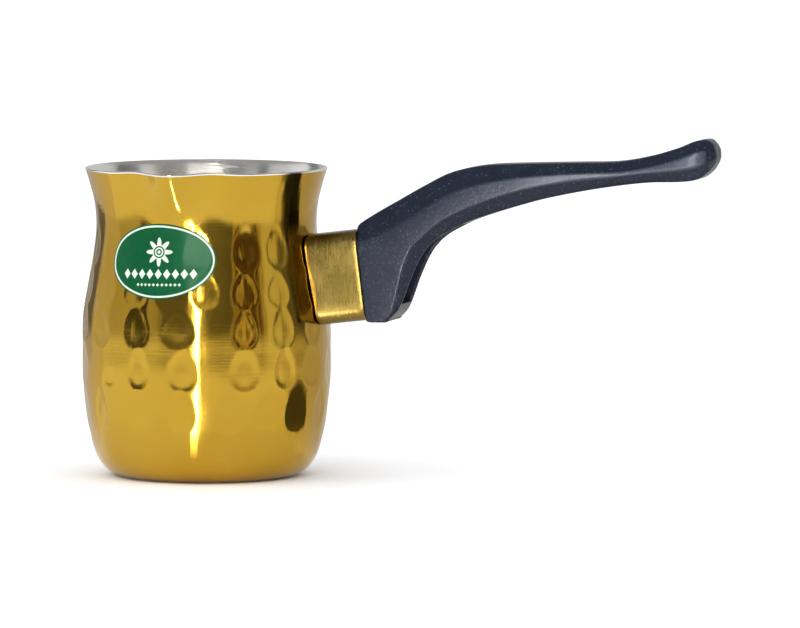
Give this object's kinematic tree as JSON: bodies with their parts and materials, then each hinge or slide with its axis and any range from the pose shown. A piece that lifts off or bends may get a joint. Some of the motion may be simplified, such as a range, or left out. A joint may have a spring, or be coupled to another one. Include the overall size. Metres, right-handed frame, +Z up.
{
  "type": "coffee pot",
  "caption": "Small open coffee pot with a bellied hammered body, a flared rim with a pouring lip and a long moulded side handle on a rectangular flame guard.",
  "frame": {"origin": "centre of the flat face that the pot stands on, on the pot's axis", "axes": "+Z up along the pot's axis, +X along the handle, -Y through the pouring lip"},
  "size_m": [0.2175, 0.0863, 0.1153],
  "materials": {
    "gold_coated_steel": "polished, gold-coloured outside, plain steel inside, hammered",
    "satin_gold_steel": "satin, gold-coloured",
    "bare_steel": "zinc-plated or plain",
    "black_phenolic": "moulded, finely textured, half matt",
    "printed_label": "gloss, printed"
  },
  "bodies": {
    "root": {"pot_shell": "gold_coated_steel", "flame_guard": "satin_gold_steel", "handle_bracket": "bare_steel", "weld_nut": "bare_steel", "handle": "black_phenolic", "flat_washer": "bare_steel", "spring_washer": "bare_steel", "handle_screw": "bare_steel", "label": "printed_label"}
  },
  "joints": []
}
